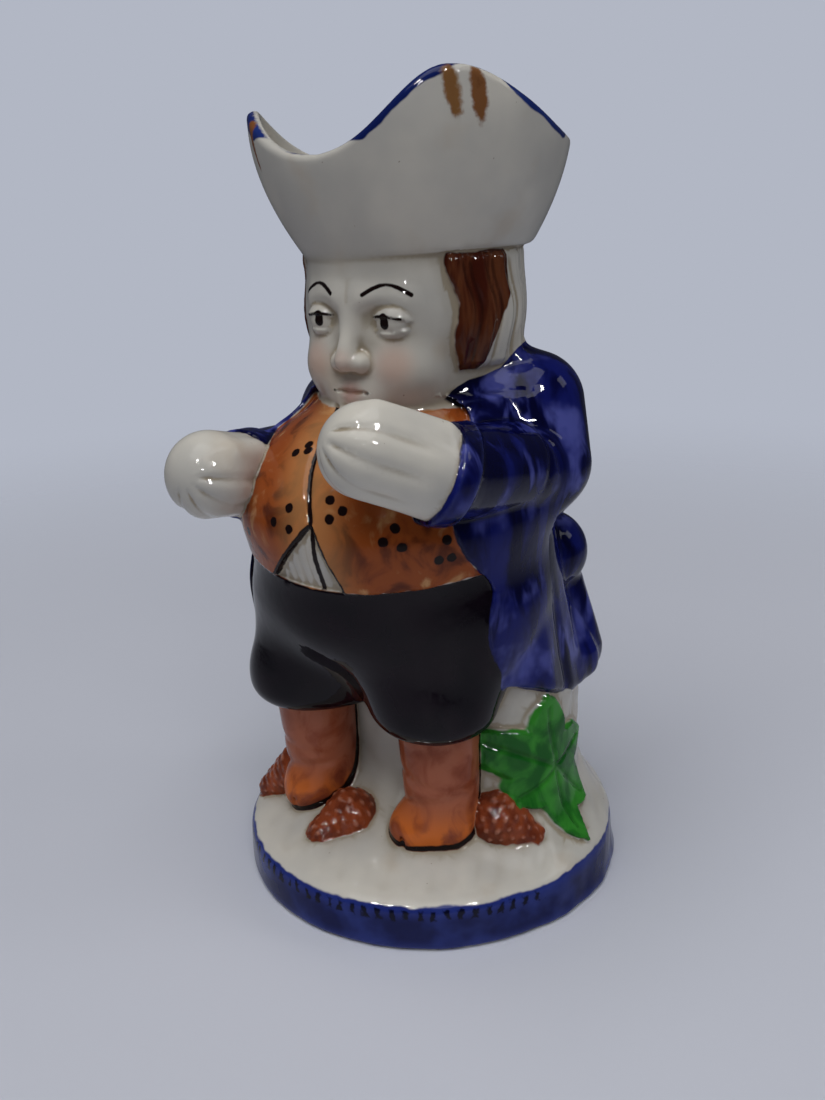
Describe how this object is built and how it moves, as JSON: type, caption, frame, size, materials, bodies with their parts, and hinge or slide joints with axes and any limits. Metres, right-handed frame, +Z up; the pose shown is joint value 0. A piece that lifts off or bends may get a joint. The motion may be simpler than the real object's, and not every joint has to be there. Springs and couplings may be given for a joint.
{
  "type": "toby jug",
  "caption": "Hollow ceramic figure jug: a stout standing figure in a coat on a round foot, open three-cornered hat as the rim, loop handle behind.",
  "frame": {"origin": "middle of the round foot's flat underside, on the surface it stands on", "axes": "+Z up, the figure faces -Y, +X is the figure's left, the handle is on +Y"},
  "size_m": [0.1036, 0.1222, 0.2024],
  "materials": {
    "glaze": "glossy lead glaze over hand-painted colours on white earthenware"
  },
  "bodies": {
    "root": {"toby_jug": "glaze"}
  },
  "joints": []
}
